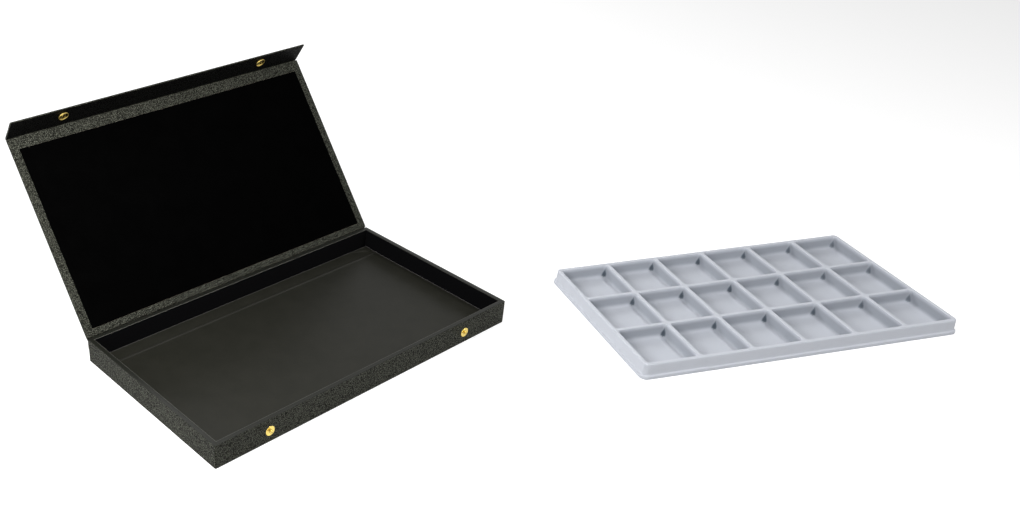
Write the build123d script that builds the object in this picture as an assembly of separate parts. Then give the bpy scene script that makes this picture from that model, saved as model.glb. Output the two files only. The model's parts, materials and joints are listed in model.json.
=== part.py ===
from build123d import *
from math import cos, radians, sin, tan
import os

# Miniature carry case: a shallow leatherette-covered tray, a lid leaf on a cloth hinge, a flap
# on the lid's free edge that snaps onto the front wall, and a loose flocked insert of 18 cells.
# Millimetres. Origin: centre of the tray's underside. +X along the long side, -Y is the snap
# side, +Z up. The lid stands open, the flap is half folded, the insert lies beside the case.

# Tray, outside
case_length = 374.65
case_width = 209.55
case_height = 25.4
corner_radius = 1.2
edge_bevel = 0.4

# Tray, built up from sheet and board
wrap_thickness = 0.5
wall_board_thickness = 3.7
base_board_thickness = 2.5
lining_thickness = 0.8
turn_in_depth = 7.0
turn_under_width = 16.0
paper_clearance = 0.1
floor_liner_thickness = 0.4
floor_pad_thickness = 1.0
floor_pad_clearance = 0.9
floor_pad_setback = 10.3
lining_drop = 0.3

# Lid and flap leaves
leaf_thickness = 2.4
leaf_wrap_thickness = 0.4
leaf_edge_bevel = 0.35
lid_open_angle = 127.5
lid_seat_gap = 0.3
lid_end_gap = 0.4
flap_fold_angle = 71.5
flap_thickness = 1.6
flap_reach = 27.0
flap_start = 0.8
fold_clearance = 0.3
flap_turn_in = 1.6
velvet_side_margin = 9.0
velvet_hinge_margin = 7.0
velvet_flap_margin = 12.2
velvet_thickness = 0.9
velvet_clearance = 0.15
velvet_edge_bevel = 0.35

# Cloth hinges
hinge_cloth_thickness = 0.4
hinge_cloth_lap = 8.0
hinge_cloth_inset = 0.4
rear_cloth_radius = 3.0
flap_cloth_radius = 0.9

# Snap fasteners
snap_end_distance = 60.8
snap_height = 12.0
snap_gap = 2.6
stud_flange_radius = 5.0
stud_flange_thickness = 0.4
stud_neck_radius = 1.5
stud_neck_start = 0.65
stud_neck_height = 1.85
stud_bulb_radius = 1.85
stud_bulb_height = 2.1
stud_height = 2.4
rivet_radius = 0.95
rivet_head_radius = 4.0
rivet_head_thickness = 0.6
rivet_end_drop = 0.5
socket_radius = 5.5
socket_height = 1.5
socket_base_thickness = 0.8
socket_rim_width = 0.9
barrel_radius = 2.35
barrel_wall = 0.25
barrel_drop = 0.2
cap_radius = 6.0
cap_dome = 1.1
cap_edge_height = 0.3
spring_wire = 0.4
spring_half_gap = 1.75
spring_reach = 3.6
running_clearance = 0.05

# Flocked insert
insert_length = 358.8
insert_width = 193.7
insert_height = 15.9
insert_sheet = 1.0
insert_columns = 6
insert_rows = 3
insert_corner_radius = 7.0
insert_rim_margin = 4.1
insert_rib_x = 4.2
insert_rib_y = 3.6
cell_draft = 4.0
skirt_draft = 3.0
foot_height = 3.6
foot_step = 1.6
rim_bevel = 0.9
cell_depth = 13.4
cell_corner_radius = 3.2
cell_floor_bevel = 1.6
cell_under_bevel = 2.4
insert_centre_x = 415.0
insert_centre_y = -248.0
insert_turn = -25.5

# Worked out from the above
board_inner = wrap_thickness + wall_board_thickness
wall_total = board_inner + lining_thickness
board_bottom = wrap_thickness + base_board_thickness
liner_top = board_bottom + floor_liner_thickness
board_top = case_height - wrap_thickness
lid_rest_turn = 180.0 - lid_open_angle
lid_outer_w = -(lid_seat_gap + leaf_thickness)
flap_axis_reach = case_width + snap_gap + flap_thickness
lid_far = flap_axis_reach - flap_thickness - fold_clearance
leaf_board_thickness = leaf_thickness - 2 * leaf_wrap_thickness
snap_reach = case_height + lid_seat_gap + leaf_thickness - snap_height
snap_offset = case_length / 2 - snap_end_distance
snap_places = (-snap_offset, snap_offset)

lid_frame = Pos(0, case_width / 2, case_height) * Rot(lid_rest_turn, 0, 0)
stud_frame = Pos(0, -case_width / 2, snap_height) * Rot(90, 0, 0)
flap_frame = lid_frame * Pos(0, flap_axis_reach, lid_outer_w) * Rot(flap_fold_angle, 0, 0)
insert_frame = Pos(insert_centre_x, insert_centre_y, 0) * Rot(0, 0, insert_turn)


def slab(length, width, low, high, radius=0.0):
    """A flat plate centred on Z, from low to high, with rounded corners where a radius is given."""
    outline = RectangleRounded(length, width, radius) if radius else Rectangle(length, width)
    return Pos(0, 0, low) * extrude(outline, high - low)


def leaf(length, near, far, low, high, radius=0.0):
    """A flat plate of a hinged leaf: near and far from the hinge axis along Y, low to high in Z."""
    return Pos(0, (near + far) / 2, 0) * slab(length, far - near, low, high, radius)


def inside(inset):
    """Length and width of the tray's plan, drawn in by an inset on every side."""
    return case_length - 2 * inset, case_width - 2 * inset


def inner_ring(thickness, low, high):
    """A ring against the wall boards' inner faces, from low to high."""
    ring = slab(*inside(board_inner), low, high)
    return ring - slab(*inside(board_inner + thickness), low, high)


def turned(line):
    """A solid turned about Z from a closed line of radius and height."""
    return Rot(90, 0, 0) * revolve(make_face(line), Axis.Y)


def at_snaps(solid, frame):
    """Two copies of a solid, one at each snap, in the given frame."""
    return Compound(children=[frame * Pos(x, 0, 0) * solid for x in snap_places])


def stud_holes(radius):
    """Two bores through the front wall, at the studs."""
    bore = Cylinder(radius, 2 * wall_total)
    return [stud_frame * Pos(x, 0, 0) * bore for x in snap_places]


def barrel_holes():
    """Two bores through the flap, for the caps' barrels."""
    bore = Cylinder(barrel_radius + running_clearance, 4 * flap_thickness)
    return [Pos(x, snap_reach, 0) * bore for x in snap_places]


# Tray


def make_box_wrap():
    skin = slab(case_length, case_width, 0, case_height, corner_radius)
    skin = chamfer(skin.faces().sort_by(Axis.Z)[-1].edges(), edge_bevel)
    skin -= slab(*inside(wrap_thickness), wrap_thickness, board_top)
    skin -= slab(*inside(board_inner + wrap_thickness), board_top, case_height)
    skin -= slab(*inside(turn_under_width), 0, wrap_thickness)
    skin += inner_ring(wrap_thickness, board_top - turn_in_depth, board_top)
    return skin - stud_holes(rivet_radius + running_clearance)


def make_base_board():
    return slab(*inside(wrap_thickness), wrap_thickness, board_bottom)


def make_base_paper():
    return slab(*inside(turn_under_width + paper_clearance), 0, wrap_thickness)


def make_long_board(side):
    """Front (side -1) or rear (side 1) wall board, the full length of the tray."""
    y = side * (case_width / 2 - wrap_thickness - wall_board_thickness / 2)
    length = case_length - 2 * wrap_thickness
    board = Pos(0, y, 0) * slab(length, wall_board_thickness, board_bottom, board_top)
    if side < 0:
        board -= stud_holes(rivet_radius + running_clearance)
        seat = Cylinder(rivet_head_radius + running_clearance, 2 * rivet_head_thickness)
        board -= [stud_frame * Pos(x, 0, -board_inner) * seat for x in snap_places]
    return board


def make_end_board(side):
    """Left (side -1) or right (side 1) wall board, between the two long boards."""
    x = side * (case_length / 2 - wrap_thickness - wall_board_thickness / 2)
    width = case_width - 2 * board_inner
    return Pos(x, 0, 0) * slab(wall_board_thickness, width, board_bottom, board_top)


def lining_strip(length, width):
    """A wall lining, thinner at the top where it lies over the turned-in wrap."""
    return slab(length, width, liner_top, case_height - lining_drop)


def turn_in_recess():
    """The space the turned-in wrap takes behind the wall linings."""
    low = board_top - turn_in_depth - paper_clearance
    return inner_ring(wrap_thickness, low, case_height)


def make_long_lining(side):
    """Front (side -1) or rear (side 1) wall lining, over the whole inner length."""
    length, width = inside(board_inner)
    y = side * (width - lining_thickness) / 2
    return Pos(0, y, 0) * lining_strip(length, lining_thickness) - turn_in_recess()


def make_end_lining(side):
    """Left (side -1) or right (side 1) wall lining, between the two long ones."""
    length, width = inside(board_inner)
    x = side * (length - lining_thickness) / 2
    strip = lining_strip(lining_thickness, width - 2 * lining_thickness)
    return Pos(x, 0, 0) * strip - turn_in_recess()


def make_floor_liner():
    return slab(*inside(board_inner), board_bottom, liner_top)


def make_floor_pad():
    length, width = inside(wall_total + floor_pad_clearance)
    width -= floor_pad_setback - floor_pad_clearance
    front = -case_width / 2 + wall_total + floor_pad_clearance
    pad = slab(length, width, liner_top, liner_top + floor_pad_thickness)
    return Pos(0, front + width / 2, 0) * pad


# Lid leaf, in the frame of its hinge: Y away from the hinge, Z towards the inner face


def make_lid_wrap():
    edge = leaf_wrap_thickness
    skin = leaf(case_length, lid_end_gap, lid_far, lid_outer_w, -lid_seat_gap, corner_radius)
    skin = chamfer(skin.faces().sort_by(Axis.Z)[0].edges(), leaf_edge_bevel)
    skin -= leaf(
        case_length - 2 * edge,
        lid_end_gap + edge,
        lid_far - edge,
        lid_outer_w + edge,
        -lid_seat_gap - edge,
    )
    skin -= velvet_window(0, 0)
    return lid_frame * skin


def velvet_window(clearance, proud):
    """The window in the lid's inner border, or the velvet that fills it."""
    return leaf(
        case_length - 2 * (velvet_side_margin + clearance),
        lid_end_gap + velvet_hinge_margin + clearance,
        lid_far - velvet_flap_margin - clearance,
        -lid_seat_gap - leaf_wrap_thickness,
        -lid_seat_gap + proud,
    )


def make_lid_board():
    edge = leaf_wrap_thickness
    low = lid_outer_w + edge
    board = leaf(
        case_length - 2 * edge, lid_end_gap + edge, lid_far - edge, low, low + leaf_board_thickness
    )
    return lid_frame * board


def make_lid_velvet():
    velvet = velvet_window(velvet_clearance, velvet_thickness - leaf_wrap_thickness)
    rim = velvet.faces().sort_by(Axis.Z)[-1].edges()
    return lid_frame * chamfer(rim, velvet_edge_bevel)


# Flap leaf, in the frame of its hinge: Z 0 is its outer face


def make_flap_wrap():
    edge = leaf_wrap_thickness
    skin = leaf(case_length, flap_start, flap_reach, 0, flap_thickness, corner_radius)
    skin = chamfer(skin.faces().sort_by(Axis.Z)[0].edges(), leaf_edge_bevel)
    skin -= leaf(
        case_length - 2 * edge, flap_start + edge, flap_reach - edge, edge, flap_thickness - edge
    )
    skin -= flap_window(0)
    return flap_frame * (skin - barrel_holes())


def flap_window(clearance):
    """The recess that the turned-in wrap leaves for the flap's lining."""
    return leaf(
        case_length - 2 * (flap_turn_in + clearance),
        flap_start + leaf_wrap_thickness + clearance,
        flap_reach - flap_turn_in - clearance,
        flap_thickness - leaf_wrap_thickness,
        flap_thickness,
    )


def make_flap_board():
    edge = leaf_wrap_thickness
    board = leaf(
        case_length - 2 * edge, flap_start + edge, flap_reach - edge, edge, flap_thickness - edge
    )
    return flap_frame * (board - barrel_holes())


def make_flap_lining():
    return flap_frame * (flap_window(paper_clearance) - barrel_holes())


# Cloth hinges, drawn as strips across the joints


def cloth_strip(path):
    """A strip of hinge cloth: a path in the YZ plane, given thickness and run along X."""
    section = trace(path, line_width=hinge_cloth_thickness)
    length = case_length - 2 * hinge_cloth_inset
    return extrude(Plane.YZ * section, length / 2, both=True)


def point_on(frame, along, out):
    """World Y and Z of a point given along a leaf and out from its axis."""
    place = (frame * Pos(0, along, out)).position
    return place.Y, place.Z


def make_rear_hinge_cloth():
    """From the rear wall's outer face to the lid's outer face."""
    middle = hinge_cloth_thickness / 2
    wall_y = case_width / 2 + middle
    out = lid_outer_w - middle
    turn = radians(lid_rest_turn)
    bend_along = (middle + out * sin(turn)) / cos(turn)
    bend_y, bend_z = point_on(lid_frame, bend_along, out)
    lid_y, lid_z = point_on(lid_frame, lid_end_gap + hinge_cloth_lap, out)
    path = FilletPolyline(
        (wall_y, bend_z - hinge_cloth_lap), (bend_y, bend_z), (lid_y, lid_z), radius=rear_cloth_radius
    )
    return cloth_strip(path)


def make_flap_hinge_cloth():
    """From the lid's outer face round the fold to the flap's outer face."""
    middle = hinge_cloth_thickness / 2
    turn = radians(flap_fold_angle)
    bend_along = -middle * (1 - cos(turn)) / sin(turn)
    start = point_on(lid_frame, lid_far - hinge_cloth_lap, lid_outer_w - middle)
    bend = point_on(flap_frame, bend_along, -middle)
    end = point_on(flap_frame, flap_start + hinge_cloth_lap, -middle)
    return cloth_strip(FilletPolyline(start, bend, end, radius=flap_cloth_radius))


# Snap fasteners


def make_snap_studs():
    """Turned studs on the front wall, each with a dished flange, a neck and a bulb."""
    bore = rivet_radius + running_clearance
    line = Polyline(
        (bore, 0),
        (stud_flange_radius, 0),
        (stud_flange_radius, stud_flange_thickness),
        (stud_neck_radius, stud_neck_start),
        (stud_neck_radius, stud_neck_height),
        (stud_bulb_radius, stud_bulb_height),
        (stud_neck_radius, stud_height),
        (bore, stud_height),
        close=True,
    )
    return at_snaps(turned(line), stud_frame)


def make_stud_rivets():
    """Rivets from inside the front wall, through the board, the wrap and the studs."""
    inner = -board_inner
    end = stud_height - rivet_end_drop
    line = Polyline(
        (0, inner),
        (rivet_head_radius, inner),
        (rivet_head_radius, inner + rivet_head_thickness),
        (rivet_radius, inner + rivet_head_thickness),
        (rivet_radius, end),
        (0, end),
        close=True,
    )
    return at_snaps(turned(line), stud_frame)


def make_snap_sockets():
    """Sockets on the flap's inner face: a base with a hole for the stud, and a raised rim."""
    hole = barrel_radius + running_clearance
    lip = socket_radius - socket_rim_width
    line = Polyline(
        (hole, 0),
        (socket_radius, 0),
        (socket_radius, socket_height),
        (lip, socket_height),
        (lip, socket_base_thickness),
        (hole, socket_base_thickness),
        close=True,
    )
    return at_snaps(turned(line), flap_frame * Pos(0, snap_reach, flap_thickness))


def make_snap_springs():
    """Bent springs that lie on the sockets' bases, one leg each side of the stud's neck."""
    end = spring_reach - spring_half_gap
    path = Line((-spring_half_gap, -end), (-spring_half_gap, end))
    path += CenterArc((0, end), spring_half_gap, 0, 180)
    path += Line((spring_half_gap, end), (spring_half_gap, -end))
    wire = extrude(trace(path, line_width=spring_wire), spring_wire)
    seat = flap_thickness + socket_base_thickness
    return at_snaps(wire, flap_frame * Pos(0, snap_reach, seat))


def make_snap_caps():
    """Domed caps on the flap's outer face, whose barrels pass through the flap to the sockets."""
    bore = barrel_radius - barrel_wall
    end = flap_thickness + socket_base_thickness - barrel_drop
    line = TangentArc((0, -cap_dome), (cap_radius, -cap_edge_height), tangent=(1, 0))
    line += Polyline(
        (cap_radius, -cap_edge_height),
        (cap_radius, 0),
        (barrel_radius, 0),
        (barrel_radius, end),
        (bore, end),
        (bore, 0),
        (0, 0),
        (0, -cap_dome),
    )
    return at_snaps(turned(line), flap_frame * Pos(0, snap_reach, 0))


# Flocked insert: one thin sheet drawn down into cells, with a skirt that steps out to a foot


def drafted(outline, length, width, corner, levels):
    """A block ruled between outlines of one corner size, at height and inset pairs."""
    sections = [
        Pos(0, 0, height) * outline(length - 2 * inset, width - 2 * inset, corner)
        for height, inset in levels
    ]
    return loft(sections, ruled=True)


def bevelled_rectangle(length, width, bevel):
    return chamfer(Rectangle(length, width).vertices(), bevel)


def lean(height, draft):
    """How far a drafted wall leans in over a height."""
    return height * tan(radians(draft))


def drawn_form(offset, low, high, bevel=0.0):
    """The insert's foot and leaning skirt, drawn in by an offset, from low to high."""
    step = offset + foot_step
    foot = slab(
        insert_length - 2 * offset,
        insert_width - 2 * offset,
        low,
        foot_height - offset,
        insert_corner_radius - offset,
    )
    shoulder = high - bevel
    top_inset = step + lean(shoulder - low, skirt_draft)
    levels = [(low, step), (shoulder, top_inset)]
    if bevel:
        levels.append((high, top_inset + bevel))
    corner = insert_corner_radius - step
    return foot + drafted(RectangleRounded, insert_length, insert_width, corner, levels)


def at_cells(outline, growth, corner, depth, bevel=0.0):
    """The spaces of the cells below the rim, grown on every side, one for each place."""
    margin = foot_step + lean(insert_height, skirt_draft) + insert_rim_margin
    pitch_x = (insert_length - 2 * margin + insert_rib_x) / insert_columns
    pitch_y = (insert_width - 2 * margin + insert_rib_y) / insert_rows
    shoulder = depth - bevel
    floor_inset = lean(shoulder, cell_draft) - growth
    levels = [(-shoulder, floor_inset), (0, -growth)]
    if bevel:
        levels.insert(0, (-depth, floor_inset + bevel))
    space = drafted(outline, pitch_x - insert_rib_x, pitch_y - insert_rib_y, corner, levels)
    places = GridLocations(pitch_x, pitch_y, insert_columns, insert_rows)
    return [Pos(0, 0, insert_height) * place * space for place in places]


def make_insert_tray():
    sheet = insert_sheet
    tray = drawn_form(0, 0, insert_height, rim_bevel)
    hollow = drawn_form(sheet, -sheet, insert_height - sheet)
    hollow -= at_cells(bevelled_rectangle, sheet, cell_under_bevel, cell_depth + sheet)
    tray -= hollow
    tray -= at_cells(RectangleRounded, 0, cell_corner_radius, cell_depth, cell_floor_bevel)
    return insert_frame * tray


nodes = {
    "box_wrap": make_box_wrap,
    "base_board": make_base_board,
    "base_paper": make_base_paper,
    "front_board": lambda: make_long_board(-1),
    "rear_board": lambda: make_long_board(1),
    "left_board": lambda: make_end_board(-1),
    "right_board": lambda: make_end_board(1),
    "front_lining": lambda: make_long_lining(-1),
    "rear_lining": lambda: make_long_lining(1),
    "left_lining": lambda: make_end_lining(-1),
    "right_lining": lambda: make_end_lining(1),
    "floor_liner": make_floor_liner,
    "floor_pad": make_floor_pad,
    "snap_studs": make_snap_studs,
    "stud_rivets": make_stud_rivets,
    "rear_hinge_cloth": make_rear_hinge_cloth,
    "lid_wrap": make_lid_wrap,
    "lid_board": make_lid_board,
    "lid_velvet": make_lid_velvet,
    "flap_hinge_cloth": make_flap_hinge_cloth,
    "flap_wrap": make_flap_wrap,
    "flap_board": make_flap_board,
    "flap_lining": make_flap_lining,
    "snap_sockets": make_snap_sockets,
    "snap_springs": make_snap_springs,
    "snap_caps": make_snap_caps,
    "insert_tray": make_insert_tray,
}

os.makedirs("parts", exist_ok=True)
for name, make in nodes.items():
    export_step(make(), f"parts/{name}.step")
    print(name)
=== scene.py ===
import json
import math

import bmesh
import bpy
from mathutils import Matrix, Vector, noise


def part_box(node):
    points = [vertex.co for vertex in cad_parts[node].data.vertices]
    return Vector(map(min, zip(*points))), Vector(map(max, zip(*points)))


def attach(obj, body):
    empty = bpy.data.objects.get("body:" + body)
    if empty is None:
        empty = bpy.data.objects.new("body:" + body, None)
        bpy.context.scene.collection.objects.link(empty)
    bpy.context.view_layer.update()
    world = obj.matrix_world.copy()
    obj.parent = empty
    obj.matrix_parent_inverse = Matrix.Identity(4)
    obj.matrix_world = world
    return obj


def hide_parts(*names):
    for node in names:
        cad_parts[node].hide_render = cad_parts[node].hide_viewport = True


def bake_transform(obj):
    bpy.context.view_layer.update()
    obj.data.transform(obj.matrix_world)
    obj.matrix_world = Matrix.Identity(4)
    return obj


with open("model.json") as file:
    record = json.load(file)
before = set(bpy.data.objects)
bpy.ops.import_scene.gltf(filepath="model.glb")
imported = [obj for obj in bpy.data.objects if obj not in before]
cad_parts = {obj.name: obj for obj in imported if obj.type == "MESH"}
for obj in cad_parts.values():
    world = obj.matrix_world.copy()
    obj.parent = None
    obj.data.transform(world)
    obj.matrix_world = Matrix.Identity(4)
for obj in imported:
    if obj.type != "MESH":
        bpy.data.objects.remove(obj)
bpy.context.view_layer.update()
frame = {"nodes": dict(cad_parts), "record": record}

mm = 0.001
sharpestCorner = 0.25 * mm  # the smallest radius that a rounded outline shrinks to
noise.seed_set(7)  # the small unevenness of the covering comes out the same each time

print("carry case: frame loaded")


def jointNamed(name):
    return next(joint for joint in frame["record"]["behaviour"]["joints"] if joint["name"] == name)


lidJoint = jointNamed("lid_hinge")
flapJoint = jointNamed("flap_hinge")
lidTurn = math.radians(180 - lidJoint["range_deg"][1])  # how far the open lid leans up from level
flapTurn = lidTurn - math.radians(flapJoint["range_deg"][0])

lidPlace = Matrix.Translation(lidJoint["pos_m"]) @ Matrix.Rotation(lidTurn, 4, "X")
flapPlace = Matrix.Translation(flapJoint["pos_m"]) @ Matrix.Rotation(flapTurn, 4, "X")


def localBox(node, place):
    # lowest and highest corner of a frame node, measured along the axes of a leaf
    back = place.inverted()
    axes = list(zip(*(back @ vertex.co for vertex in frame["nodes"][node].data.vertices)))
    return Vector([min(values) for values in axes]), Vector([max(values) for values in axes])


# shaping tools that the pieces share


def smoothStep(low, high, value):
    share = min(max((value - low) / (high - low), 0.0), 1.0)
    return share * share * (3 - 2 * share)


def hump(offset, width):
    return math.exp(-((offset / width) ** 2))


def uneven(point, span, depth):
    # the small unevenness of glued covering, by its span and depth
    return point + noise.noise_vector(point / span) * depth


def arcSteps(centre, radius, startAngle, endAngle, steps):
    # (distance in, height) pairs along an arc of a section
    pairs = []
    for step in range(steps + 1):
        angle = math.radians(startAngle + (endAngle - startAngle) * step / steps)
        pairs.append((centre[0] + radius * math.cos(angle), centre[1] + radius * math.sin(angle)))
    return pairs


def roundedLoop(low, high, radius, height, counts):
    # points round a rectangle with rounded corners, from the corner at high x and low y
    x0, x1 = low[0] + radius, high[0] - radius
    y0, y1 = low[1] + radius, high[1] - radius
    corners = ((x1, y0, -90), (x1, y1, 0), (x0, y1, 90), (x0, y0, 180))

    def cornerPoint(corner, degrees):
        angle = math.radians(corner[2] + degrees)
        x = corner[0] + radius * math.cos(angle)
        y = corner[1] + radius * math.sin(angle)
        return Vector((x, y, height))

    points = []
    for number, corner in enumerate(corners):
        turns = counts["corner"]
        points += [cornerPoint(corner, 90 * step / turns) for step in range(turns + 1)]
        following = cornerPoint(corners[(number + 1) % 4], 0)
        steps = counts["alongX"] if number % 2 else counts["alongY"]
        points += [points[-1].lerp(following, step / steps) for step in range(1, steps)]
    return points


def insetLoop(low, high, inset, radius, height, counts):
    rounding = max(radius - inset, sharpestCorner)
    near = (low[0] + inset, low[1] + inset)
    far = (high[0] - inset, high[1] - inset)
    return roundedLoop(near, far, rounding, height, counts)


def ringSheet(rings, closed=True, startCap=False, endCap=False, flip=False):
    # rings that run outwards and down face outwards; flip turns the sheet over
    sheet = bmesh.new()
    rows = [[sheet.verts.new(point) for point in ring] for ring in rings]
    for upper, lower in zip(rows, rows[1:]):
        count = len(upper)
        for number in range(count if closed else count - 1):
            after = (number + 1) % count
            corners = [upper[number], lower[number], lower[after], upper[after]]
            sheet.faces.new(corners[::-1] if flip else corners)
    if startCap:
        sheet.faces.new(rows[0][::-1] if flip else rows[0])
    if endCap:
        sheet.faces.new(rows[-1] if flip else rows[-1][::-1])
    return sheet


def gridSheet(xs, ys, heightAt, paleAt):
    # paleAt gives how far a spot takes the pale edge colour: the sheet's cut edge brightened as painted
    # highlight, and painted sheen along the ridge
    sheet = bmesh.new()
    layer = sheet.verts.layers.float.new("cutEdgeAndHighlight")
    rows = [[sheet.verts.new((x, y, heightAt(x, y))) for x in xs] for y in ys]
    for vert in sheet.verts:
        vert[layer] = paleAt(vert.co.x, vert.co.y)
    for lower, upper in zip(rows, rows[1:]):
        for number in range(len(xs) - 1):
            sheet.faces.new((lower[number], lower[number + 1], upper[number + 1], upper[number]))
    return sheet


def turnedSheet(millimetres, places, rise=None, paintedShadeAt=None, segments=64):
    # turned pieces, one for each place, from (radius, height) pairs that run from axis to axis
    # or, with no point on the axis, close on themselves
    section = [(radius * mm, height * mm) for radius, height in millimetres]
    sheet = bmesh.new()
    # per point, how far the metal takes its painted shade colour
    layer = sheet.verts.layers.float.new("paintedShade")
    for place in places:
        rows = []
        for radius, height in section:
            if radius == 0:
                rows.append([sheet.verts.new(place @ Vector((0, 0, height)))] * segments)
                continue
            row = []
            for number in range(segments):
                angle = 2 * math.pi * number / segments
                lift = rise(radius, height, angle) if rise else 0
                spot = (radius * math.cos(angle), radius * math.sin(angle), height + lift)
                row.append(sheet.verts.new(place @ Vector(spot)))
                row[-1][layer] = paintedShadeAt(radius, height, angle) if paintedShadeAt else 0
            rows.append(row)
        pairs = list(zip(rows, rows[1:]))
        if section[0][0]:
            pairs.append((rows[-1], rows[0]))
        for first, second in pairs:
            for number in range(segments):
                after = (number + 1) % segments
                corners = (first[number], second[number], second[after], first[after])
                sheet.faces.new(list(dict.fromkeys(corners)))  # beside the axis two of them are one point
    bmesh.ops.recalc_face_normals(sheet, faces=sheet.faces)
    return sheet


def addObject(name, data):
    made = bpy.data.objects.new(name, data)
    bpy.context.scene.collection.objects.link(made)
    return made


def makePiece(name, sheet, material, place=None, thickness=0, sharpAngle=40, keepFlats=True):
    # a skin gets its thickness inwards; keepFlats keeps the shading of broad faces flat
    if place:
        bmesh.ops.transform(sheet, matrix=place, verts=sheet.verts)
    mesh = bpy.data.meshes.new(name)
    sheet.to_mesh(mesh)
    sheet.free()
    mesh.materials.append(material)
    mesh.shade_smooth()
    piece = addObject(name, mesh)
    if thickness:
        solidify = piece.modifiers.new("thickness", "SOLIDIFY")
        solidify.thickness = thickness
        solidify.offset = -1
    bpy.context.view_layer.update()
    finished = piece.evaluated_get(bpy.context.evaluated_depsgraph_get())
    solid = bpy.data.meshes.new_from_object(finished)
    piece.modifiers.clear()
    piece.data = solid
    solid.name = name
    solid.set_sharp_from_angle(angle=math.radians(sharpAngle))
    if keepFlats:
        weighted = piece.modifiers.new("flatFaces", "WEIGHTED_NORMAL")
        weighted.keep_sharp = True
    bpy.context.view_layer.update()
    return piece


# tools for the finishes


def newFinish(name):
    finish = bpy.data.materials.new(name)
    finish.use_nodes = True
    tree = finish.node_tree
    return finish, tree, tree.nodes["Principled BSDF"]


def fill(node, **values):
    # values that name a property set it, and the rest fill the node's sockets
    for key, value in values.items():
        if hasattr(node, key):
            setattr(node, key, value)
        else:
            node.inputs[key.replace("_", " ")].default_value = value


def addNode(tree, kind, links=None, **values):
    node = tree.nodes.new("ShaderNode" + kind)
    fill(node, **values)
    for socket, source in (links or {}).items():
        tree.links.new(source, node.inputs[socket])
    return node


def surfaceCoordinates(tree, stretch=(1, 1, 1)):
    place = addNode(tree, "TexCoord").outputs["Object"]
    return addNode(tree, "Mapping", {"Vector": place}, Scale=stretch).outputs["Vector"]


def colourBetween(tree, factor, low, high):
    ramp = addNode(tree, "ValToRGB", {"Fac": factor})
    ramp.color_ramp.elements[0].color = (*low, 1)
    ramp.color_ramp.elements[1].color = (*high, 1)
    return ramp.outputs["Color"]


def valueBetween(tree, factor, low, high):
    return addNode(tree, "MapRange", {"Value": factor}, To_Min=low, To_Max=high).outputs["Result"]


def noiseField(tree, where, perMetre, detail, **values):
    noiseNode = addNode(tree, "TexNoise", {"Vector": where}, Scale=perMetre, Detail=detail, **values)
    return noiseNode.outputs["Fac"]


def combined(tree, operation, *terms, kind="Math"):
    # the terms are other nodes' outputs or plain values
    node = addNode(tree, kind, operation=operation)
    for socket, term in zip(node.inputs, terms):
        if isinstance(term, bpy.types.NodeSocket):
            tree.links.new(term, socket)
        else:
            socket.default_value = term
    return node.outputs[0]


def pointValue(tree, name):
    return addNode(tree, "Attribute", attribute_name=name).outputs["Fac"]


def mixedColour(tree, shader, factor, colour, other):
    # the base colour, which turns to the other one as the factor rises
    mixed = addNode(tree, "Mix", {"Factor": factor, 6: colour}, data_type="RGBA")  # 6 and 7 are its colours
    mixed.inputs[7].default_value = (*other, 1)
    tree.links.new(mixed.outputs[2], shader.inputs["Base Color"])


def addBump(tree, shader, height, strength, depth):
    bump = addNode(tree, "Bump", {"Height": height}, Strength=strength, Distance=depth)
    tree.links.new(bump.outputs["Normal"], shader.inputs["Normal"])


leatheretteLook = {
    "pebblesPerMetre": 700,
    "pebbleEdge": (0.05, 0.3),  # from valley to crown, as a share of a pebble's size
    "driftsPerMetre": 430.0,
    "drift": 1.7 * mm,  # how far the pebbles wander from their even cells
    "specksPerMetre": 2600.0,
    "speckHeight": 0.18,  # against a pebble's
    "patchesPerMetre": 26.0,
    "patch": 0.1,  # how much broad patches change the tone
    # the dark valleys are partly the grain's own tone and partly painted shade in its hollows
    "valley": (0.002, 0.002, 0.0015),
    "crown": (0.1, 0.103, 0.081),
    "pressedAndShaded": (0.011, 0.0115, 0.009),  # along the wall tops the grain is pressed flat, and this dark colour is painted shade, as the open lid blocks their light
    "gloss": (0.6, 0.3, 0.28),  # roughness in the valleys, on the crowns and pressed flat
    "shine": (0.04, 0.15),  # on the grain and where it is pressed flat
    "relief": 0.26 * mm,
    "pressedRelief": 0.1,  # what pressing leaves of it
}

# the lid and flap have a slightly coarser grain, and a paler crown that is painted light on their faces
litLeafLeatheretteLook = dict(leatheretteLook, pebblesPerMetre=620, crown=(0.108, 0.111, 0.0875))

# the flap's inner panel: the same grain on a darker ground
flapPanelLook = dict(leatheretteLook, valley=(0.001, 0.001, 0.001), crown=(0.007, 0.007, 0.0065))
flapPanelLook["shine"] = (0.03, 0.03)


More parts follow.
